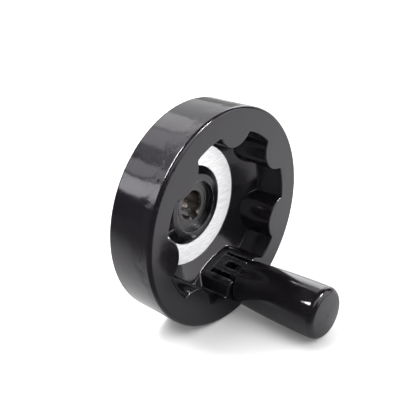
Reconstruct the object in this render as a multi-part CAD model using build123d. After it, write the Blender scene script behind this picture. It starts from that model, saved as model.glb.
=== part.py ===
from build123d import *
import math
import os

os.makedirs("parts", exist_ok=True)

# Frame: millimetres, +Z up.  The shaft axis is Y and the front of the wheel
# faces -Y.  The origin is on the shaft axis, on the rear face of the hub.

# ---------------------------------------------------------------- driving sizes
wheel_dia = 100.0           # over the front edge of the rim
wheel_depth = 34.0          # front plane of the rim to the rear face of the hub
rim_width = 24.0            # front plane of the rim to its back plane
rim_wall = 11.0             # front edge to the bottom of the finger recesses
rim_draft = 1.0             # radius the rim loses from front to back
front_edge_round = 1.6
back_edge_round = 1.2
inner_edge_round = 0.7

lobe_count = 7              # finger lobes round the inside of the rim
lobe_radius = 11.0
lobe_height = 6.8           # how far a lobe stands in from the recess wall
lobe_corner_round = 1.2
floor_round = 1.0           # where the walls meet the bowl's floor
boss_half_width = 9.8       # the handle's lobe is a boss with a flat face
boss_corner_round = 3.4
boss_flare = 45.0           # degrees its sides lean out from the radius

bore_dia = 12.0
bore_chamfer = 0.9
key_width = 4.0
key_depth = 1.8             # above the bore's own circle
bush_dia = 26.0
bush_flat = 24.4            # across the two flats that stop the bush turning
hub_mouth_dia = 24.2        # counterbore in the hub's front face
hub_mouth_depth = 2.7
hub_top_dia = 30.4          # flat ring round the counterbore
hub_base_dia = 36.4         # foot of the hub's sloping side
hub_rise = 2.4              # hub's front face in front of the disc
rear_boss_dia = 36.0

disc_thickness = 1.2
disc_radial_gap = 0.1       # left round the aluminium disc in its recess

grip_full_length = 45.0     # shortened where the bowl is too small to take it folded
grip_rear_dia = 20.8
grip_dia = 24.2
grip_end_round = 3.2
grip_rear_round = 0.7
grip_dome = 0.7

handle_angle = -71.0        # degrees from +X towards +Z, seen from behind
hinge_to_grip = 5.5         # hinge pin to the grip's axis, outwards
hinge_to_rear = 2.8         # hinge pin to the grip's rear plane, forwards
hinge_depth = 2.2           # hinge pin behind the rim's front plane
pin_dia = 2.5
ear_round = 2.4             # round the pin, so the grip's rear face sweeps past
face_to_pin = 2.0           # hinge block's hub-side face to the pin
block_width = 9.4
block_length = 11.2         # along the wheel's radius
slot_width = 4.0
slot_depth = 9.4
slot_reach = 9.2            # how far the slot goes outwards from the face
pocket_side_gap = 2.4       # open gap each side of the hinge block
foot_gap = 0.1              # round the foot of the block in its pocket
foot_thickness = 1.6

stud_dia = 5.0
stud_hole_gap = 0.2
washer_dia = 10.0
washer_thickness = 1.0
nut_across_flats = 8.0
nut_thickness = 2.7
stud_past_nut = 0.8
nut_recess_dia = 12.4
seat_wall = 6.8             # moulding left between the block and the washer

spindle_dia = 8.0
running_gap = 0.05          # radial, grip bore on the spindle
collar_dia = 12.0
collar_thickness = 1.6
clear_gap = 0.3             # radial, between parts that turn past each other
end_gap = 0.3               # along the axis, between parts that turn
spring_washer_thickness = 0.5
side_gap = 0.1              # each side of the tongue stack in the slot
ring_thickness = 0.9
ring_stand = 0.75           # retaining ring proud of the spindle
groove_depth = 0.7
ring_mouth = 40.0           # degrees left open in the retaining ring

# ---------------------------------------------------------------- derived sizes
front_y = -wheel_depth
back_y = front_y + rim_width
outer_r = wheel_dia / 2
back_r = outer_r - rim_draft
recess_r = outer_r - rim_wall
lobe_tip_r = recess_r - lobe_height
lobe_centre_r = lobe_tip_r + lobe_radius

hub_base_r = hub_base_dia / 2
floor_outer_y = front_y + rim_width * 0.585
floor_inner_y = front_y + rim_width * 0.875
disc_y = floor_inner_y + rim_width * 0.01
disc_seat_y = disc_y + disc_thickness
disc_outer_r = hub_base_r + (lobe_tip_r - hub_base_r) * 0.705
disc_inner_r = hub_base_r + 0.3
hub_top_y = disc_y - hub_rise
bush_y = hub_top_y + hub_mouth_depth
rear_boss_r = rear_boss_dia / 2
web_back_y = back_y + (0 - back_y) * 0.42
web_back_r = disc_outer_r + 1.0

# handle frame: origin on the hinge pin's axis
block_face_r = lobe_tip_r - 0.8
pin_r = block_face_r + face_to_pin
pin_y = front_y + hinge_depth
grip_r = pin_r + hinge_to_grip
grip_rear_y = pin_y - hinge_to_rear
fold_reach = math.sqrt(lobe_tip_r ** 2 - (grip_dia / 2) ** 2) - 1.0
grip_length = min(grip_full_length, pin_r - hinge_to_rear + fold_reach)
block_back_y = floor_outer_y
block_outer_r = block_face_r + block_length
slot_floor_y = front_y + slot_depth
pocket_width = block_width + 2 * pocket_side_gap
stud_r = block_face_r + block_length / 2 + 1.2
washer_y = block_back_y + seat_wall
nut_y = washer_y + washer_thickness
stud_end_y = nut_y + nut_thickness + stud_past_nut
tongue_width = slot_width - 2 * side_gap - spring_washer_thickness
tongue_low = -slot_width / 2 + side_gap
tongue_high = tongue_low + tongue_width
spring_washer_r = 1.9
spindle_length = grip_length * 0.72
groove_at = spindle_length - 3.0
bore_end = spindle_length + 1.2


# ---------------------------------------------------------------- helpers
def turned(points, centre_r=0.0):
    """Solid turned about a line along Y; points are (radius, y)."""
    sketch = make_face(Polyline(*points, close=True))
    solid = revolve(sketch, Axis.Y, 360)
    return Pos(centre_r, 0, 0) * solid


def rod(radius, y0, y1, centre_r=0.0, side=0.0):
    """Cylinder along Y between two planes."""
    place = Pos(centre_r, (y0 + y1) / 2, side) * Rot(90, 0, 0)
    return place * Cylinder(radius, abs(y1 - y0))


def block(r0, r1, y0, y1, t0, t1):
    """Box in the handle's frame: radius, y and sideways."""
    centre = Pos((r0 + r1) / 2, (y0 + y1) / 2, (t0 + t1) / 2)
    return centre * Box(abs(r1 - r0), abs(y1 - y0), abs(t1 - t0))


def plate(outline, t0, t1):
    """Face drawn in radius and y, made thick sideways."""
    return Pos(0, 0, t0) * extrude(outline, t1 - t0)


def at_handle(shape):
    """Turn a shape made along +X round to the handle's place."""
    return Rot(0, -handle_angle, 0) * shape


def edges_near(shape, test):
    return [e for e in shape.edges() if test(e)]


def radius_of(edge):
    """Distance of an edge's middle from the shaft axis."""
    p = edge @ 0.5
    return math.hypot(p.X, p.Z)


def name_and_save(shape, name):
    shape.label = name
    export_step(shape, "parts/" + name + ".step")
    return shape


# ---------------------------------------------------------------- hub bush
def make_bush():
    bush = rod(bush_dia / 2, bush_y, 0)
    middle = bush_y * 0.5
    for side in (-1, 1):
        flat = Pos(side * (bush_flat / 2 + 5), middle / 2, 0)
        bush -= flat * Box(10, abs(middle), bush_dia)
    bush -= rod(bore_dia / 2, bush_y - 1, 1)
    mouth = [(0, bush_y - 1), (bore_dia / 2 + bore_chamfer + 1, bush_y - 1)]
    mouth += [(bore_dia / 2, bush_y + bore_chamfer), (0, bush_y + bore_chamfer)]
    bush -= turned(mouth)
    key_r = bore_dia / 2 + key_depth
    bush -= at_handle(block(0, key_r, bush_y - 1, 1, -key_width / 2, key_width / 2))
    for groove_r in (8.8, 10.3):
        cut = rod(groove_r + 0.25, bush_y - 1, bush_y + 0.2)
        cut -= rod(groove_r - 0.25, bush_y - 2, bush_y + 1)
        bush -= cut
    return bush


def bush_blank():
    """The bush's outside only, for the moulding to close round."""
    blank = rod(bush_dia / 2, bush_y, 0)
    middle = bush_y * 0.5
    for side in (-1, 1):
        flat = Pos(side * (bush_flat / 2 + 5), middle / 2, 0)
        blank -= flat * Box(10, abs(middle), bush_dia)
    return blank


# ---------------------------------------------------------------- wheel body
def boss_outline():
    """The handle's boss seen along the shaft: flat face, round corners, flared sides."""
    reach = recess_r + 4 - lobe_tip_r
    spread = boss_half_width + reach * math.tan(math.radians(boss_flare))
    shape = make_face(Polyline(
        (lobe_tip_r, -boss_half_width), (lobe_tip_r + reach, -spread),
        (lobe_tip_r + reach, spread), (lobe_tip_r, boss_half_width), close=True))
    corners = [v for v in shape.vertices() if abs(v.X - lobe_tip_r) < 0.01]
    return fillet(corners, boss_corner_round)


def cup_void():
    """The bowl in front of the hub, with the lobes left standing in it."""
    profile = [(0, front_y - 1), (recess_r, front_y - 1), (recess_r, floor_outer_y)]
    profile += [(disc_outer_r + disc_radial_gap, floor_inner_y)]
    profile += [(disc_outer_r + disc_radial_gap, disc_seat_y)]
    profile += [(disc_inner_r - disc_radial_gap, disc_seat_y)]
    profile += [(hub_base_r, disc_y), (hub_top_dia / 2, hub_top_y)]
    profile += [(hub_mouth_dia / 2, hub_top_y), (hub_mouth_dia / 2, bush_y), (0, bush_y)]
    void = turned(profile)
    outline = Circle(recess_r)
    for k in range(1, lobe_count):
        place = Rot(0, 0, handle_angle + k * 360 / lobe_count) * Pos(lobe_centre_r, 0, 0)
        outline -= place * Circle(lobe_radius)
    outline -= Rot(0, 0, handle_angle) * boss_outline()
    prism = extrude(outline, wheel_depth + 2)
    prism = fillet(prism.edges().filter_by(Axis.Z), lobe_corner_round)
    return void & (Pos(0, 1, 0) * Rot(90, 0, 0) * prism)


def body_outside():
    profile = [(0, front_y), (outer_r, front_y), (back_r, back_y), (recess_r, back_y)]
    profile += [(web_back_r, web_back_y - 1.0), (rear_boss_r + 2.0, web_back_y)]
    profile += [(rear_boss_r, web_back_y + 1.5), (rear_boss_r - 0.6, 0), (0, 0)]
    solid = turned(profile)
    front = edges_near(solid, lambda e: abs((e @ 0.5).Y - front_y) < 0.01 and radius_of(e) > outer_r - 1)
    solid = fillet(front, front_edge_round)
    back = edges_near(solid, lambda e: abs((e @ 0.5).Y - back_y) < 0.01 and radius_of(e) > back_r - 1)
    solid = fillet(back, back_edge_round)
    rear = edges_near(solid, lambda e: abs((e @ 0.5).Y) < 0.01 and radius_of(e) > rear_boss_r - 1)
    return fillet(rear, 0.8)


def hinge_pocket():
    """Room in the handle's lobe for the hinge block, and the nut's recess behind."""
    half = pocket_width / 2
    room = block(block_face_r - 2, block_outer_r + foot_gap, front_y - 2, block_back_y, -half, half)
    room += rod(stud_dia / 2 + stud_hole_gap, block_back_y - 1, washer_y + 1, stud_r)
    room += rod(nut_recess_dia / 2, washer_y, 1, stud_r)
    return at_handle(room)


def floor_at(r):
    """Where the bowl's sloping floor is at a radius."""
    rise = (recess_r - r) / (recess_r - disc_outer_r - disc_radial_gap)
    return floor_outer_y + rise * (floor_inner_y - floor_outer_y)


def make_body():
    body = body_outside() - cup_void()

    def inner_front(e):
        on_front = abs((e @ 0.5).Y - front_y) < 0.01 and abs((e @ 0.1).Y - front_y) < 0.01
        return on_front and radius_of(e) < recess_r + 0.5

    body = fillet(edges_near(body, inner_front), inner_edge_round)

    def on_floor(e):
        for part in (0.1, 0.5, 0.9):
            p = e @ part
            r = math.hypot(p.X, p.Z)
            if r < disc_outer_r + 1 or abs(p.Y - floor_at(r)) > 0.01:
                return False
        return True

    body = fillet(edges_near(body, on_floor), floor_round)

    def hub_top_edge(e):
        at_top = abs((e @ 0.5).Y - hub_top_y) < 0.01
        return at_top and abs(radius_of(e) - hub_top_dia / 2) < 0.1

    body = fillet(edges_near(body, hub_top_edge), 0.9)
    body -= hinge_pocket()
    body -= bush_blank()
    return body


# ---------------------------------------------------------------- aluminium disc
def make_disc():
    disc = rod(disc_outer_r, disc_y, disc_seat_y)
    disc -= rod(disc_inner_r, disc_y - 1, disc_seat_y + 1)
    return disc


# ---------------------------------------------------------------- hinge parts
def make_bracket():
    half = block_width / 2
    centre = (pin_r, pin_y)
    ear_front = pin_y - ear_round
    side = Pos(*centre) * Circle(ear_round)
    side += Pos((pin_r + block_outer_r) / 2, (ear_front + block_back_y) / 2) * Rectangle(
        block_outer_r - pin_r, block_back_y - ear_front)
    side += Pos((block_face_r + pin_r) / 2, (pin_y + block_back_y) / 2) * Rectangle(
        pin_r - block_face_r, block_back_y - pin_y)
    keep = Pos((block_face_r + block_outer_r) / 2, (front_y + block_back_y) / 2) * Rectangle(
        block_length, 4 * rim_width)
    bracket = plate(side & keep, -half, half)
    foot_half = pocket_width / 2 - foot_gap
    foot_face = recess_r - 4.0
    bracket += block(foot_face, block_outer_r, block_back_y - foot_thickness, block_back_y,
                     -foot_half, foot_half)
    bracket += rod(stud_dia / 2, block_back_y - 1, stud_end_y, stud_r)
    slot_half = slot_width / 2
    bracket -= block(block_face_r - 5, block_face_r + slot_reach, front_y - 5, slot_floor_y,
                     -slot_half, slot_half)
    bracket -= Pos(pin_r, pin_y, 0) * Cylinder(pin_dia / 2, block_width + 4)
    end = edges_near(bracket, lambda e: abs((e @ 0.5).Y - stud_end_y) < 0.01)
    bracket = chamfer(end, 0.6)
    return at_handle(bracket)


def make_pin():
    pin = Cylinder(pin_dia / 2, block_width - 0.2)
    pin = chamfer(pin.edges().filter_by(GeomType.CIRCLE), 0.25)
    return at_handle(Pos(pin_r, pin_y, 0) * pin)


def make_spring_washer():
    washer = Cylinder(spring_washer_r, spring_washer_thickness)
    washer -= Cylinder(pin_dia / 2 + running_gap, spring_washer_thickness * 3)
    return at_handle(Pos(pin_r, pin_y, tongue_high + spring_washer_thickness / 2) * washer)


def make_stud_washer():
    washer = rod(washer_dia / 2, washer_y, nut_y, stud_r)
    washer -= rod(stud_dia / 2 + stud_hole_gap, washer_y - 1, nut_y + 1, stud_r)
    return at_handle(washer)


def make_nut():
    flat = nut_across_flats / 2
    corner = flat / math.cos(math.pi / 6)
    hexagon = extrude(RegularPolygon(corner, 6), nut_thickness)
    nut = Pos(stud_r, nut_y, 0) * Rot(-90, 0, 0) * hexagon
    top = nut_y + nut_thickness
    crown = [(0, nut_y - 1), (corner + 1, nut_y - 1), (corner + 1, top - 0.9)]
    crown += [(corner * 0.92, top), (0, top)]
    nut &= turned(crown, stud_r)
    nut -= rod(stud_dia / 2, nut_y - 1, top + 1, stud_r)
    return at_handle(nut)


# ---------------------------------------------------------------- folding handle
def make_spindle():
    """Tongue between the ears, collar behind the grip, spindle through it."""
    eye_r = ear_round - 0.3
    tongue_outer_r = block_face_r + slot_reach - 0.4
    eye = Pos(pin_r, pin_y) * Circle(eye_r)
    low_y = grip_rear_y - 0.5
    high_y = pin_y + 1.2
    bar = make_face(Polyline(
        (pin_r - 0.6, low_y), (tongue_outer_r, low_y), (tongue_outer_r, pin_y - 0.6),
        (tongue_outer_r - 1.8, high_y), (pin_r, high_y), close=True))
    tongue = plate(eye + bar, tongue_low, tongue_high)
    tongue -= Pos(pin_r, pin_y, 0) * Cylinder(pin_dia / 2 + running_gap, slot_width * 3)
    collar = rod(collar_dia / 2, grip_rear_y, grip_rear_y - collar_thickness, grip_r)
    shank = rod(spindle_dia / 2, grip_rear_y - 0.5, grip_rear_y - spindle_length, grip_r)
    end = edges_near(shank, lambda e: abs((e @ 0.5).Y - (grip_rear_y - spindle_length)) < 0.01)
    shank = chamfer(end, 0.8)
    groove_y = grip_rear_y - groove_at
    groove = rod(spindle_dia, groove_y, groove_y - ring_thickness, grip_r)
    groove -= rod(spindle_dia / 2 - groove_depth, groove_y + 1, groove_y - ring_thickness - 1, grip_r)
    arm = tongue + collar + shank
    arm -= groove
    return at_handle(arm)


def make_ring():
    """Open spring ring that sits in the spindle's groove."""
    y0 = grip_rear_y - groove_at
    y1 = y0 - ring_thickness
    ring = rod(spindle_dia / 2 + ring_stand, y0, y1, grip_r)
    ring -= rod(spindle_dia / 2 - groove_depth, y0 + 1, y1 - 1, grip_r)
    half = math.radians(ring_mouth / 2)
    far = spindle_dia
    wedge = make_face(Polyline(
        (0, 0), (far * math.cos(half), far * math.sin(half)),
        (far * math.cos(half), -far * math.sin(half)), close=True))
    wedge = Pos(grip_r, y0 + 1, 0) * Rot(90, 0, 0) * extrude(wedge, ring_thickness + 2)
    return at_handle(ring - wedge)


def make_grip():
    rear_r = grip_rear_dia / 2
    full_r = grip_dia / 2
    body_end = grip_length - grip_end_round - grip_dome
    start = (rear_r, -grip_rear_round)
    stop = (full_r, -body_end)
    length, taper = body_end - grip_rear_round, full_r - rear_r
    sweep_r = (length ** 2 + taper ** 2) / (2 * taper)
    half_way = full_r - sweep_r + math.sqrt(sweep_r ** 2 - length ** 2 / 4)
    mid = (half_way, -body_end + length / 2)
    rear_edge = Line((0, 0), (rear_r - grip_rear_round, 0))
    rear_arc = Line((rear_r - grip_rear_round, 0), start)
    side = ThreePointArc(start, mid, stop)
    dip = math.sqrt(0.5)
    end_mid = (full_r - grip_end_round * (1 - dip), -body_end - grip_end_round * dip)
    end_stop = (full_r - grip_end_round, -grip_length + grip_dome)
    end_arc = ThreePointArc(stop, end_mid, end_stop)
    flat_r = full_r - grip_end_round
    ball_r = (flat_r ** 2 + grip_dome ** 2) / (2 * grip_dome)
    mid_r = flat_r / 2
    dome_mid = (mid_r, -grip_length + ball_r - math.sqrt(ball_r ** 2 - mid_r ** 2))
    dome = ThreePointArc(end_stop, dome_mid, (0, -grip_length))
    axis = Line((0, -grip_length), (0, 0))
    outline = make_face([rear_edge, rear_arc, side, end_arc, dome, axis])
    grip = revolve(outline, Axis.Y, 360)
    bore_r = spindle_dia / 2 + running_gap
    grip -= rod(bore_r, 1, -bore_end)
    recess_end = collar_thickness + end_gap
    grip -= rod(collar_dia / 2 + clear_gap, 1, -recess_end)
    ring_r = spindle_dia / 2 + ring_stand + clear_gap
    grip -= rod(ring_r, -groove_at + end_gap, -groove_at - ring_thickness - end_gap)
    return at_handle(Pos(grip_r, grip_rear_y, 0) * grip)


# ---------------------------------------------------------------- write the parts
name_and_save(make_body(), "wheel_body")
name_and_save(make_disc(), "trim_disc")
name_and_save(make_bush(), "hub_bush")
name_and_save(make_bracket(), "hinge_bracket")
name_and_save(make_pin(), "hinge_pin")
name_and_save(make_spring_washer(), "spring_washer")
name_and_save(make_stud_washer(), "stud_washer")
name_and_save(make_nut(), "stud_nut")
name_and_save(make_spindle(), "handle_spindle")
name_and_save(make_ring(), "retaining_ring")
name_and_save(make_grip(), "grip")
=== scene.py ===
import math

import bpy
from mathutils import Matrix, Vector


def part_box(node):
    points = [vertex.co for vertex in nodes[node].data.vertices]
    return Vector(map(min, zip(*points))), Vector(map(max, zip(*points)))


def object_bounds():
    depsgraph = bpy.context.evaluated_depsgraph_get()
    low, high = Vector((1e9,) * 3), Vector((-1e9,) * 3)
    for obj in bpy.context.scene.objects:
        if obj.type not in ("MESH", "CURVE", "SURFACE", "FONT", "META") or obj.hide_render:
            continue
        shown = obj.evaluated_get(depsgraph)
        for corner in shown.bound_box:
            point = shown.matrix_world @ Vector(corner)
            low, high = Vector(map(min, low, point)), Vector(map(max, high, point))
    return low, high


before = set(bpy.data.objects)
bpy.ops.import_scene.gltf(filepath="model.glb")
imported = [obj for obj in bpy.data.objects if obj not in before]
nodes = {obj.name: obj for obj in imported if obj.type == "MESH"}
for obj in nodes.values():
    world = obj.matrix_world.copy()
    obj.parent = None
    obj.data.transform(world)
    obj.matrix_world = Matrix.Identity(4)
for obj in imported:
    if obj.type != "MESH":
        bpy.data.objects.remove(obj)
cad_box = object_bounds()
scene = bpy.context.scene
print("pieces in the frame:", sorted(nodes))


# %% [markdown]
# A handwheel is bought by its look and feel, so it is shown on plain white paper in a soft studio.
# The studio starts as an empty room. A view transform with no film curve is chosen, because the usual
# one turns white paper grey.
# %% An empty room
scene.view_settings.view_transform = "Standard"
room = bpy.data.worlds.new("studio_room")
scene.world = room
room.use_nodes = True
room_tree = room.node_tree
room_tree.nodes.clear()
print("room", room.name, "with view transform", scene.view_settings.view_transform)


# %% [markdown]
# The room, the paper and every finish are small nets of shader nodes. Set one property at a time, such
# a net is long and hard to follow. So two helpers add a node in one go, with a number, a colour or
# another node's output for each of its sockets. The first node is Light Path, which tells who looks:
# the camera, the gloss of a surface, or soft light.
# %% Helpers that add a node
def set_sockets(node, sockets):
    """Gives each socket a fixed value, or a link where another node's output is handed over."""
    for name, value in sockets.items():
        if isinstance(value, bpy.types.NodeSocket):
            node.id_data.links.new(value, node.inputs[name])
        else:
            node.inputs[name].default_value = value


def add_node(tree, kind, sockets, **settings):
    """Adds one node, makes its settings and then fills its sockets."""
    node = tree.nodes.new("ShaderNode" + kind)
    for name, value in settings.items():
        setattr(node, name, value)
    set_sockets(node, sockets)
    return node


room_seen_by = add_node(room_tree, "LightPath", {}).outputs
print("the room tells apart:", [ray.name for ray in room_seen_by if ray.name.startswith("Is ")])


# %% [markdown]
# Black gloss has no colour of its own: what is seen on it is the lamps, the pale paper and the dark
# room between them. One brightness of room can't serve everything. The camera wants plain white behind
# the wheel, the gloss wants a dark room, and soft light wants a bright one that keeps the shadows open.
# A studio hangs black cloth to shape the gloss. Here the glow of the walls is mixed by the kind of ray
# instead, because that holds from every side.
# %% The glow of the room
WHITE = (1.0, 1.0, 1.0, 1.0)
glow_for_camera = 1.0
glow_for_gloss = 0.045
glow_for_soft_light = 0.75


def mix_shaders(tree, share, rest, chosen):
    """A share of 0 shows the rest, and a share of 1 shows the chosen shader."""
    return add_node(tree, "MixShader", {"Fac": share, 1: rest, 2: chosen}).outputs["Shader"]


def walls_that_glow(strength):
    sockets = {"Color": WHITE, "Strength": strength}
    return add_node(room_tree, "Background", sockets).outputs["Background"]


walls = mix_shaders(room_tree, room_seen_by["Is Glossy Ray"],
                    walls_that_glow(glow_for_soft_light), walls_that_glow(glow_for_gloss))
walls = mix_shaders(room_tree, room_seen_by["Is Camera Ray"], walls, walls_that_glow(glow_for_camera))
add_node(room_tree, "OutputWorld", {"Surface": walls})
print("glow for camera, gloss and soft light:", glow_for_camera, glow_for_gloss, glow_for_soft_light)


# %% [markdown]
# The floor is one wide round sheet that the wheel stands on. Its rim is drawn up, as a paper sweep
# is, so there is no hard line behind the wheel from any side. It starts as a filled circle. Insetting
# that circle makes an inner ring, which stays on the ground when the outer one is lifted.
# %% Make the paper floor
floor_height = cad_box[0][2]
paper_radius = 2.5
slope_width = 0.6
rim_height = 0.5


def deselect_all():
    """Operators act on all that is selected, and the frame arrives selected."""
    if bpy.context.mode != "OBJECT":
        bpy.ops.object.mode_set(mode="OBJECT")
    bpy.ops.object.select_all(action="DESELECT")


deselect_all()
bpy.ops.mesh.primitive_circle_add(
    vertices=96, radius=paper_radius, fill_type="NGON", location=(0, 0, floor_height))
floor = bpy.context.object
floor.name = "paper_floor"
bpy.ops.object.mode_set(mode="EDIT")
bpy.ops.mesh.select_all(action="SELECT")
bpy.ops.mesh.inset(thickness=slope_width)
bpy.ops.object.mode_set(mode="OBJECT")
for vertex in floor.data.vertices:
    on_rim = math.hypot(vertex.co.x, vertex.co.y) > paper_radius - slope_width / 2
    vertex.co.z = rim_height if on_rim else 0.0
bpy.ops.object.shade_smooth()
print("paper floor", 2 * paper_radius, "m across, at height", round(floor_height, 4))


# %% [markdown]
# White paper is almost matt, so nearly all of its look is its base colour. A trace of glow of its own keeps
# it white out where the lamps fade. It is staging and no part of the wheel.
# %% White paper
paper = bpy.data.materials.new("white_paper")
paper.use_nodes = True
paper_tree = paper.node_tree
sheet = paper_tree.nodes["Principled BSDF"]
set_sockets(sheet, {"Base Color": (0.93, 0.93, 0.93, 1.0), "Roughness": 0.9, "Specular IOR Level": 0.2,
                    "Emission Color": WHITE, "Emission Strength": 0.03})
paper_place = add_node(paper_tree, "TexCoord", {}).outputs["Object"]
paper_seen_by = add_node(paper_tree, "LightPath", {}).outputs
floor.data.materials.append(paper)
print("finish", paper.name, "on", floor.name)


# %% [markdown]
# Lamps, camera and the shading of the paper are all placed by where they stand round the wheel. One helper
# turns a bearing and a rise into an arrow that points there from the wheel, because two angles are easier to
# set than three coordinates.
# %% A helper for directions
def towards(bearing, rise=0.0):
    """Unit arrow: bearing 0 is the handle's side (-Y), 90 is -X, rise is degrees above level."""
    b, e = math.radians(bearing), math.radians(rise)
    return Vector((-math.sin(b) * math.cos(e), -math.cos(b) * math.cos(e), math.sin(e)))


print("the arrow to the camera's side:", tuple(round(part, 3) for part in towards(50, 26)))


# %% [markdown]
# The rim's flat face and the bowl mirror the paper in front of the wheel, and white paper makes them
# grey. A studio lays a dark card there. Here the card is a shade in the paper that the gloss alone
# sees: half dark under the wheel, and nearly black from a few centimetres out towards the left front.
# A smooth step between the two leaves no border in the mirror image.
# %% Lay a dark card for the gloss
BLACK = (0.0, 0.0, 0.0, 1.0)
card_bearing = 55
card_begins, card_full = 0.030, 0.085
half_dark, nearly_black = 0.49, 0.96


def graded(tree, value, start, end, low=0.0, high=1.0, **settings):
    """From start to end the value goes from low to high, and outside them it holds still."""
    sockets = {"Value": value, "From Min": start, "From Max": end, "To Min": low, "To Max": high}
    return add_node(tree, "MapRange", sockets, **settings).outputs["Result"]


def times(tree, first, second):
    """Multiplies two values, so that one mask holds only inside the other."""
    return add_node(tree, "Math", {0: first, 1: second}, operation="MULTIPLY").outputs["Value"]


along = add_node(paper_tree, "VectorMath", {0: paper_place, 1: towards(card_bearing)},
                 operation="DOT_PRODUCT").outputs["Value"]
card = graded(paper_tree, along, card_begins, card_full, half_dark, nearly_black,
              interpolation_type="SMOOTHSTEP")
no_light = add_node(paper_tree, "Emission", {"Color": BLACK}).outputs["Emission"]
paper_face = mix_shaders(paper_tree, times(paper_tree, card, paper_seen_by["Is Glossy Ray"]),
                         sheet.outputs["BSDF"], no_light)
print("dark card towards bearing", card_bearing, "from", card_begins, "to", card_full, "m")


# %% [markdown]
# Seen from low down, paper that runs off into the distance would meet the white room in a faint line.
# Stronger lamps would hide it but spoil the shadow. So for the camera alone the paper fades to plain
# white, well outside the wheel's shadow.
# %% Fade the far paper to white
fade_begins, fade_full = 0.35, 0.90

reach = add_node(paper_tree, "VectorMath", {0: paper_place}, operation="LENGTH").outputs["Value"]
far_off = graded(paper_tree, reach, fade_begins, fade_full)
plain_white = add_node(paper_tree, "Emission", {"Color": WHITE}).outputs["Emission"]
paper_face = mix_shaders(paper_tree, times(paper_tree, far_off, paper_seen_by["Is Camera Ray"]),
                         paper_face, plain_white)
set_sockets(paper_tree.nodes["Material Output"], {"Surface": paper_face})
print("paper fades to white from", fade_begins, "to", fade_full, "m from the wheel")


# %% [markdown]
# Each lamp is a flat sheet of light, like a soft box. It is placed by its bearing round the wheel, its
# rise and its distance, and turned to face the wheel. Its brightness is given as the glow of its face,
# because that is what the gloss shows, and the power follows from its size. The first one is broad and
# dim, stands behind on the right and lays the grey on the upper part of the wheel's outside.
# %% A helper for soft boxes, and the first one
def soft_box(name, bearing, rise, distance, width, height, glow, roll=0, in_gloss=True):
    place = towards(bearing, rise) * distance
    deselect_all()
    bpy.ops.object.light_add(type="AREA", location=place)
    lamp = bpy.context.object
    lamp.name = name
    lamp.data.shape = "RECTANGLE"
    lamp.data.size = width
    lamp.data.size_y = height
    lamp.data.energy = glow * math.pi * width * height
    turn = place.to_track_quat("Z", "Y").to_matrix() @ Matrix.Rotation(math.radians(roll), 3, "Z")
    lamp.rotation_euler = turn.to_euler()
    lamp.visible_glossy = in_gloss
    print(name, "at", tuple(round(part, 2) for part in place), "with", round(lamp.data.energy, 2), "W")
    return lamp


soft_box("back_wall", bearing=-148, rise=35, distance=1.2, width=1.5, height=1.0, glow=1.25)


# %% [markdown]
# The wheel's round outside mirrors what is behind it, so each band along it is a lamp back there. Two
# small ones brighten the middle of the grey. Two on the left make the patch above the dark part. The
# narrow strip is rolled to lie along the rim's edge, where it draws one bright line. A bigger lamp in
# place of these would flatten the cylinder to one tone.
# %% Hang the other soft boxes behind the wheel
soft_box("back_hot", bearing=-157, rise=44, distance=1.1, width=0.30, height=0.20, glow=1.3)
soft_box("back_top", bearing=165, rise=48, distance=1.1, width=0.6, height=0.3, glow=0.6)
soft_box("left_back", bearing=157, rise=31, distance=1.1, width=0.65, height=0.2, glow=1.9, roll=20)
soft_box("left_spot", bearing=136, rise=22, distance=1.1, width=0.20, height=0.24, glow=4.0)
soft_box("edge_strip", bearing=140, rise=52, distance=1.1, width=0.58, height=0.05, glow=100, roll=-42)


# %% [markdown]
# The bowl, the hinge block and the grip mirror what is in front and to the right. These lamps are
# broad and mild, so the bowl keeps its depth and the grip gets a long soft light along its top.
# %% Hang the soft boxes in front and at the side
soft_box("right_front", bearing=-32, rise=22, distance=1.2, width=1.2, height=0.9, glow=1.5)
soft_box("front_top", bearing=5, rise=50, distance=1.1, width=1.0, height=0.5, glow=1.7)
soft_box("front_left_high", bearing=40, rise=40, distance=1.1, width=0.4, height=0.3, glow=0.7)
soft_box("right_side", bearing=-106, rise=20, distance=1.2, width=0.8, height=0.8, glow=2.4)


# %% [markdown]
# Sharp glints sit on the foot of the handle's boss and on the lobes' edges. They come from one small,
# strong lamp. It is hidden from dull surfaces, or it would throw a hard shadow. The reverse lamp hangs
# overhead: it lights the paper and the dull surfaces, and the gloss doesn't see it.
# %% Hang a key for the gloss and a light for the paper
small_key = soft_box("small_key", bearing=-29, rise=48, distance=1.1, width=0.26, height=0.055, glow=115)
small_key.visible_diffuse = False
soft_box("paper_light", bearing=172, rise=70, distance=1.3, width=0.8, height=0.8, glow=6.5,
         in_gloss=False)


# %% [markdown]
# The bright disc lies deep in the bowl and would be lost in its shade. A lamp strong enough for it
# would flood the black, so the last lamp is linked to the disc alone and passes by everything else.
# %% Hang a light for the disc
disc_light = soft_box("disc_light", bearing=15, rise=12, distance=1.1, width=0.5, height=0.5, glow=6.5)
lit_by_it = bpy.data.collections.new("lit_by_disc_light")
lit_by_it.objects.link(nodes["trim_disc"])
disc_light.light_linking.receiver_collection = lit_by_it


# %% [markdown]
# The camera stands to the left of the handle's side and a little above, as eyes do over a bench. One
# arrow points back to it from the rim's flat face. Two more, to the right and up, move it sideways
# until the wheel sits well in a square picture. The lens is worked out from its length in pixels.
# %% Set up the camera
camera_bearing, camera_rise = 49.77, 25.80
move_back, move_right, move_up = 0.400, -0.00902, 0.00475
picture_width, lens_in_pixels = 416, 921.33
sensor_width = 36.0

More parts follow.
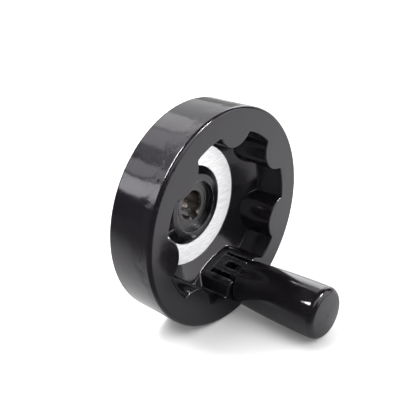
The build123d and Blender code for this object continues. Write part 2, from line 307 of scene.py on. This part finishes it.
rim_face = Vector((0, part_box("wheel_body")[0][1], 0))
back = towards(camera_bearing, camera_rise)
right = towards(camera_bearing - 90)
up = back.cross(right)
camera_place = rim_face + right * move_right + up * move_up + back * move_back
camera_turn = Matrix((right, up, back)).transposed()
deselect_all()
bpy.ops.object.camera_add(location=camera_place, rotation=camera_turn.to_euler())
camera = bpy.context.object
camera.name = "camera"
camera.data.sensor_width = sensor_width
camera.data.lens = lens_in_pixels / picture_width * sensor_width
camera.data.clip_start = 0.01
scene.camera = camera
print("camera at", tuple(round(part, 3) for part in camera_place), "lens", round(camera.data.lens, 1))


# %% [markdown]
# Every finish starts from the same plain shader and goes onto pieces of the frame, in place of the
# simple one that they came with. Patterns are drawn on Object coordinates. Those are metres in the
# frame, so a pattern keeps its real size and never slides when the handle moves.
# %% Helpers for finishes
def new_finish(name):
    """A new material, its net of nodes and its shader."""
    finish = bpy.data.materials.new(name)
    finish.use_nodes = True
    tree = finish.node_tree
    return finish, tree, tree.nodes["Principled BSDF"]


def object_place(tree):
    return add_node(tree, "TexCoord", {}).outputs["Object"]


def put_on(finish, *names):
    for name in names:
        nodes[name].data.materials.clear()
        nodes[name].data.materials.append(finish)
    print("finish", finish.name, "on", ", ".join(names))


print("finishes to replace:", sorted({old.name for piece in nodes.values() for old in piece.data.materials}))


# %% [markdown]
# A moulded skin is never quite flat. It has a long, faint wave from the cooling of thick walls, and a
# much finer mottle. Wheel, grip and hinge block share it, so it is a node group: a small net with
# named inputs and outputs, built once and placed in each finish with that finish's own values. This
# cell makes the empty group, with its sockets.
# %% An empty node group for the moulded skin
def new_group(name, inputs, outputs):
    """Inputs give each socket's kind, and the outputs are all plain values."""
    group = bpy.data.node_groups.new(name, "ShaderNodeTree")
    for socket, kind in inputs.items():
        group.interface.new_socket(socket, in_out="INPUT", socket_type="NodeSocket" + kind)
    for socket in outputs:
        group.interface.new_socket(socket, in_out="OUTPUT", socket_type="NodeSocketFloat")
    given = group.nodes.new("NodeGroupInput").outputs
    result = group.nodes.new("NodeGroupOutput")
    print("node group", name, "takes", ", ".join(inputs), "and gives", ", ".join(outputs))
    return group, given, result


moulded_skin, skin_given, skin_result = new_group(
    "moulded_skin", {"Vector": "Vector", "Wave fineness": "Float", "Mottle fineness": "Float"},
    ["Height", "Mottle"])


# %% [markdown]
# Wave and mottle are both noise, at two sizes. The height is the wave with a small share of the mottle
# on it. More of the mottle in the height makes the gloss grainy like satin, so it mostly acts through
# the second output, which changes how dull each spot is.
# %% Fill the moulded skin
mottle_share_of_height = 0.02


def noise(tree, where, fineness, detail):
    """Cloudy noise round one half. A higher fineness gives smaller clouds."""
    sockets = {"Vector": where, "Scale": fineness, "Detail": detail}
    return add_node(tree, "TexNoise", sockets).outputs["Fac"]


wave = noise(moulded_skin, skin_given["Vector"], skin_given["Wave fineness"], 1.0)
mottle = noise(moulded_skin, skin_given["Vector"], skin_given["Mottle fineness"], 4.0)
skin_height = add_node(moulded_skin, "Math", {0: mottle, 1: mottle_share_of_height, 2: wave},
                       operation="MULTIPLY_ADD").outputs["Value"]
set_sockets(skin_result, {"Height": skin_height, "Mottle": mottle})
print("share of the mottle in the height:", mottle_share_of_height)


# %% [markdown]
# Hands and rags rub a moulding's edges first, so they turn a little paler than the faces. The same pale edge
# is also a painted highlight: it stands for the thin bright glints along the edges, and so it lies on hollow
# edges as well as on worn outer ones. Painting that by hand would need a map for each piece. The Bevel node
# finds edges by itself: it gives the normal that a slightly rounder edge would have, and where that differs
# from the true normal there is an edge. A noise breaks the line up, since wear is never even.
# %% Node group: worn edges, with a painted edge highlight
edge_band_width = 0.0006
still_flat, fully_on_edge = 0.985, 0.90
edge_break_fineness, edge_break_detail = 260.0, 4.0
edge_gaps, edge_solid = 0.30, 0.58

# The edge mask marks wear and also places a painted highlight on the edges.
wear_and_glint_edges, edge_given, edge_result = new_group("wear_and_glint_edges", {"Vector": "Vector"}, ["Wear and glint"])
rounder = add_node(wear_and_glint_edges, "Bevel", {"Radius": edge_band_width}, samples=6).outputs["Normal"]
true_normal = add_node(wear_and_glint_edges, "NewGeometry", {}).outputs["Normal"]
agreement = add_node(wear_and_glint_edges, "VectorMath", {0: rounder, 1: true_normal},
                     operation="DOT_PRODUCT").outputs["Value"]
edge = graded(wear_and_glint_edges, agreement, still_flat, fully_on_edge)
uneven = noise(wear_and_glint_edges, edge_given["Vector"], edge_break_fineness, edge_break_detail)
broken = graded(wear_and_glint_edges, uneven, edge_gaps, edge_solid)
set_sockets(edge_result, {"Wear and glint": times(wear_and_glint_edges, edge, broken)})


# %% [markdown]
# Phenolic is a hard black moulding resin with a deep polish. Its base colour is nearly black, with a
# trace of violet, and its gloss is strong, because the resin bends light more than most plastics do.
# The gloss is uneven by the mottle, the wave makes reflections wander a little, and the edges are a paler
# grey, partly wear and partly a painted highlight for edge glints. One function makes it, because the black
# paint on the hinge block differs only in numbers: it is duller and flatter. The grip is a thick plug of
# resin, so its wave is long.
# %% Black gloss for the grip and the hinge block
phenolic_black = (0.0064, 0.0058, 0.0072, 1.0)
# Paler edge grey: partly wear, partly a painted highlight for the glints along edges.
wear_and_highlight_grey = (0.17, 0.163, 0.185, 1.0)
violet_gloss = (0.97, 0.93, 1.0, 1.0)
phenolic_ior = 1.62
mottle_fineness = 900.0
mottle_low, mottle_high = 0.35, 0.65


def add_group(tree, group, sockets):
    return add_node(tree, "Group", sockets, node_tree=group).outputs


def mix_colours(tree, share, rest, chosen):
    sockets = {"Factor": share, "A": rest, "B": chosen}
    return add_node(tree, "Mix", sockets, data_type="RGBA").outputs["Result"]


def black_gloss(name, roughness, wave_fineness, wave_depth):
    finish, tree, skin = new_finish(name)
    place = object_place(tree)
    moulded = add_group(tree, moulded_skin, {"Vector": place, "Wave fineness": wave_fineness,
                                             "Mottle fineness": mottle_fineness})
    wear_and_glint = add_group(tree, wear_and_glint_edges, {"Vector": place})["Wear and glint"]
    waved = add_node(tree, "Bump", {"Height": moulded["Height"], "Distance": wave_depth})
    # The edge mask mixes in the pale grey: wear and a painted edge highlight.
    set_sockets(skin, {"Base Color": mix_colours(tree, wear_and_glint, phenolic_black, wear_and_highlight_grey),
                       "Roughness": graded(tree, moulded["Mottle"], mottle_low, mottle_high, *roughness),
                       "Normal": waved.outputs["Normal"],
                       "IOR": phenolic_ior,
                       "Specular Tint": violet_gloss})
    return finish


grip_black = black_gloss("black_phenolic_grip", (0.10, 0.17), wave_fineness=60.0, wave_depth=0.00012)
put_on(grip_black, "grip")
block_black = black_gloss("black_satin_steel", (0.22, 0.34), wave_fineness=160.0, wave_depth=0.00003)
put_on(block_black, "hinge_bracket")


# %% [markdown]
# The wheel's outside is handled most, and a hazy bloom lies on it. To keep that off the bowl and the
# face, a mask is needed that follows the round outside. The shaft axis lies along Y through the
# origin, so leaving Y out of a place and taking its length gives the distance to the axis, and the
# mask is graded by that distance. A second mask, by Y, stops short of the two rounded edges.
# %% Masks for the outside of the wheel
wheel_radius = 0.050
outside_begins, outside_full = wheel_radius - 0.0005, wheel_radius - 0.00005
wheel_front, wheel_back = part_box("wheel_body")[0][1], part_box("wheel_body")[1][1]


def distance_to_axis(tree, place):
    flat = add_node(tree, "VectorMath", {0: place, 1: (1.0, 0.0, 1.0)}, operation="MULTIPLY")
    return add_node(tree, "VectorMath", {0: flat.outputs["Vector"]}, operation="LENGTH").outputs["Value"]


def outside_mask(tree, place):
    return graded(tree, distance_to_axis(tree, place), outside_begins, outside_full)


def between_edges_mask(tree, place):
    along_shaft = add_node(tree, "SeparateXYZ", {"Vector": place}).outputs["Y"]
    off_front = graded(tree, along_shaft, wheel_front + 0.0015, wheel_front + 0.0050)
    off_back = graded(tree, along_shaft, wheel_back - 0.0012, wheel_back - 0.0040)
    return times(tree, off_front, off_back)


print("the wheel's outside runs from", round(wheel_front, 4), "to", round(wheel_back, 4), "along Y")


# %% [markdown]
# The bloom lies in soft patches. Two things make it: the patches add to the roughness, and they lie as
# very low clouds in the height, so reflections get soft, uneven borders. The clouds stay off the
# rounded edges, where they would make the fine bright line crumble.
# %% Black gloss for the wheel, rubbed on its outside
hazy_roughness = 0.13
cloud_depth = 0.00052
patch_fineness, patch_detail = 62.0, 5.0
patch_clear, patch_full = 0.38, 0.66


def rub_the_outside(finish):
    tree = finish.node_tree
    skin = tree.nodes["Principled BSDF"]
    polished = skin.inputs["Roughness"].links[0].from_socket
    waved = skin.inputs["Normal"].links[0].from_socket
    place = object_place(tree)
    outside = outside_mask(tree, place)
    patches = graded(tree, noise(tree, place, patch_fineness, patch_detail), patch_clear, patch_full)
    haze = times(tree, times(tree, outside, hazy_roughness), patches)
    patched = add_node(tree, "Math", {0: polished, 1: haze}, operation="ADD")
    clouded = add_node(tree, "Bump", {"Height": patches, "Distance": cloud_depth, "Normal": waved,
                                      "Strength": times(tree, outside, between_edges_mask(tree, place))})
    set_sockets(skin, {"Roughness": patched.outputs["Value"], "Normal": clouded.outputs["Normal"]})


wheel_black = black_gloss("black_phenolic", (0.09, 0.14), wave_fineness=110.0, wave_depth=0.00010)
rub_the_outside(wheel_black)
put_on(wheel_black, "wheel_body")


# %% [markdown]
# Turned faces carry fine rings left by the tool. An image of rings would stretch, and a wave texture is
# too even for a tool that wears. So a noise along one line is read at the distance from the shaft axis,
# and that gives uneven rings that are round on the real axis. All metals share it.
# %% Node group: turning marks
ring_detail = 3.0

turning_marks, marks_given, marks_result = new_group(
    "turning_marks", {"Vector": "Vector", "Rings per metre": "Float"}, ["Rings"])
along_radius = times(turning_marks, distance_to_axis(turning_marks, marks_given["Vector"]),
                     marks_given["Rings per metre"])
rings = add_node(turning_marks, "TexNoise", {"W": along_radius, "Scale": 1.0, "Detail": ring_detail},
                 noise_dimensions="1D").outputs["Fac"]
set_sockets(marks_result, {"Rings": rings})


# %% [markdown]
# All the metal pieces come off a lathe, so one function makes them. The rings change the gloss and the
# height together, as real grooves do. What differs is the colour, how dull the metal is, and how fine
# and deep the marks are. The small fittings come first: pin and retaining ring are bare ground steel,
# the spindle and its spring washer are blued almost black, and nut and washer are zinc plated.
# %% Turned metal for the small fittings
fine_rings = 7000.0
fine_groove = 0.000004


def turned_metal(name, colour, roughness, rings_per_metre, groove_depth, metallic=1.0):
    finish, tree, skin = new_finish(name)
    marks = add_group(tree, turning_marks, {"Vector": object_place(tree),
                                            "Rings per metre": rings_per_metre})
    grooved = add_node(tree, "Bump", {"Height": marks["Rings"], "Distance": groove_depth})
    set_sockets(skin, {"Base Color": (*colour, 1.0),
                       "Metallic": metallic,
                       "Roughness": graded(tree, marks["Rings"], 0.0, 1.0, *roughness),
                       "Normal": grooved.outputs["Normal"]})
    return finish


bare_steel = turned_metal("ground_steel", (0.46, 0.46, 0.46), (0.22, 0.36), fine_rings, fine_groove)
put_on(bare_steel, "hinge_pin", "retaining_ring")
blued_steel = turned_metal("blued_steel", (0.05, 0.05, 0.055), (0.25, 0.40), fine_rings, fine_groove)
put_on(blued_steel, "handle_spindle", "spring_washer")
zinc_plate = turned_metal("zinc_plate", (0.62, 0.63, 0.65), (0.30, 0.42), fine_rings, fine_groove)
put_on(zinc_plate, "stud_nut", "stud_washer")


# %% [markdown]
# The bright disc is turned aluminium, wiped with fine abrasive afterwards, which leaves straight
# hairlines across it. They are a noise that a Mapping node stretches one way, and they darken the
# metal a little. A fully metallic disc would mirror the dark room and lose its brightness, so it is
# only part metallic, and the rest scatters the light as a finely wiped face does.
# %% Turned aluminium for the disc
aluminium = (0.96, 0.96, 0.97)
hairline_turn = math.radians(35.0)
hairline_stretch = 7.0
hair_fineness, hair_detail = 260.0, 6.0
hair_dark, hair_bright = 0.35, 0.60
darkest_share = 0.82


def add_hairlines(finish, colour):
    tree = finish.node_tree
    stretched = add_node(tree, "Mapping", {"Vector": object_place(tree),
                                           "Rotation": (0.0, hairline_turn, 0.0),
                                           "Scale": (1.0, 1.0, hairline_stretch)}).outputs["Vector"]
    hairs = noise(tree, stretched, hair_fineness, hair_detail)
    shade = graded(tree, hairs, hair_dark, hair_bright, darkest_share, 1.0)
    tone = add_node(tree, "VectorMath", {0: colour, "Scale": shade}, operation="SCALE")
    set_sockets(tree.nodes["Principled BSDF"], {"Base Color": tone.outputs["Vector"]})


disc_metal = turned_metal("turned_aluminium", aluminium, (0.38, 0.55), rings_per_metre=9000.0,
                          groove_depth=0.00002, metallic=0.35)
add_hairlines(disc_metal, aluminium)
put_on(disc_metal, "trim_disc")


# %% [markdown]
# The disc is so bright that the lobes would mirror it as pale ovals, where they should stay black. The
# disc itself has to stay bright, so it is dimmed only where the gloss looks at it: for those rays its
# shader is mixed with one that gives no light.
# %% Dim the disc for the gloss
hidden_share = 0.85

disc_tree = disc_metal.node_tree
disc_seen_by = add_node(disc_tree, "LightPath", {}).outputs
no_disc_light = add_node(disc_tree, "Emission", {"Color": BLACK}).outputs["Emission"]
dimmed = mix_shaders(disc_tree, times(disc_tree, disc_seen_by["Is Glossy Ray"], hidden_share),
                     disc_tree.nodes["Principled BSDF"].outputs["BSDF"], no_disc_light)
set_sockets(disc_tree.nodes["Material Output"], {"Surface": dimmed})
print("the gloss sees", round(1 - hidden_share, 2), "of the disc")


# %% [markdown]
# The bush is plain steel with coarse rings on its face. Its bore is painted darker than the face, as painted
# shade inside the deep hole, and on the bore's edge tan specks are a painted highlight for warm glints
# there. Bore, edge and face are told apart by the distance from the shaft axis, so each begins at its real
# radius.
# %% Dark steel for the bush
bore_radius = 0.006
bush_grey = (0.165, 0.161, 0.165)
# Painted shade: the bore's darker colour stands for the shade inside the deep hole.
painted_bore_shade = (0.055, 0.048, 0.044, 1.0)
# Painted highlight: this tan stands for warm glints on the bore's edge.
painted_glint_tan = (0.44, 0.35, 0.23, 1.0)
speck_fineness, speck_detail = 700.0, 5.0
speck_clear, speck_full = 0.60, 0.68


def colour_the_bush(finish):
    tree = finish.node_tree
    place = object_place(tree)
    radius = distance_to_axis(tree, place)
    on_face = graded(tree, radius, bore_radius + 0.0001, bore_radius + 0.0005)
    off_the_bore = graded(tree, radius, bore_radius - 0.0001, bore_radius + 0.0002)
    near_the_bore = graded(tree, radius, bore_radius + 0.0014, bore_radius + 0.0006)
    specks = graded(tree, noise(tree, place, speck_fineness, speck_detail), speck_clear, speck_full)
    # Painted highlight: tan specks on the bore's edge stand for warm glints there.
    patched = times(tree, times(tree, off_the_bore, near_the_bore), specks)
    # Painted shade: the bore is coloured darker than the face.
    metal = mix_colours(tree, on_face, painted_bore_shade, (*bush_grey, 1.0))
    set_sockets(tree.nodes["Principled BSDF"], {"Base Color": mix_colours(tree, patched, metal, painted_glint_tan)})


bush_metal = turned_metal("dark_turned_steel", bush_grey, (0.26, 0.46), rings_per_metre=2600.0,
                          groove_depth=0.00004)
colour_the_bush(bush_metal)
put_on(bush_metal, "hub_bush")
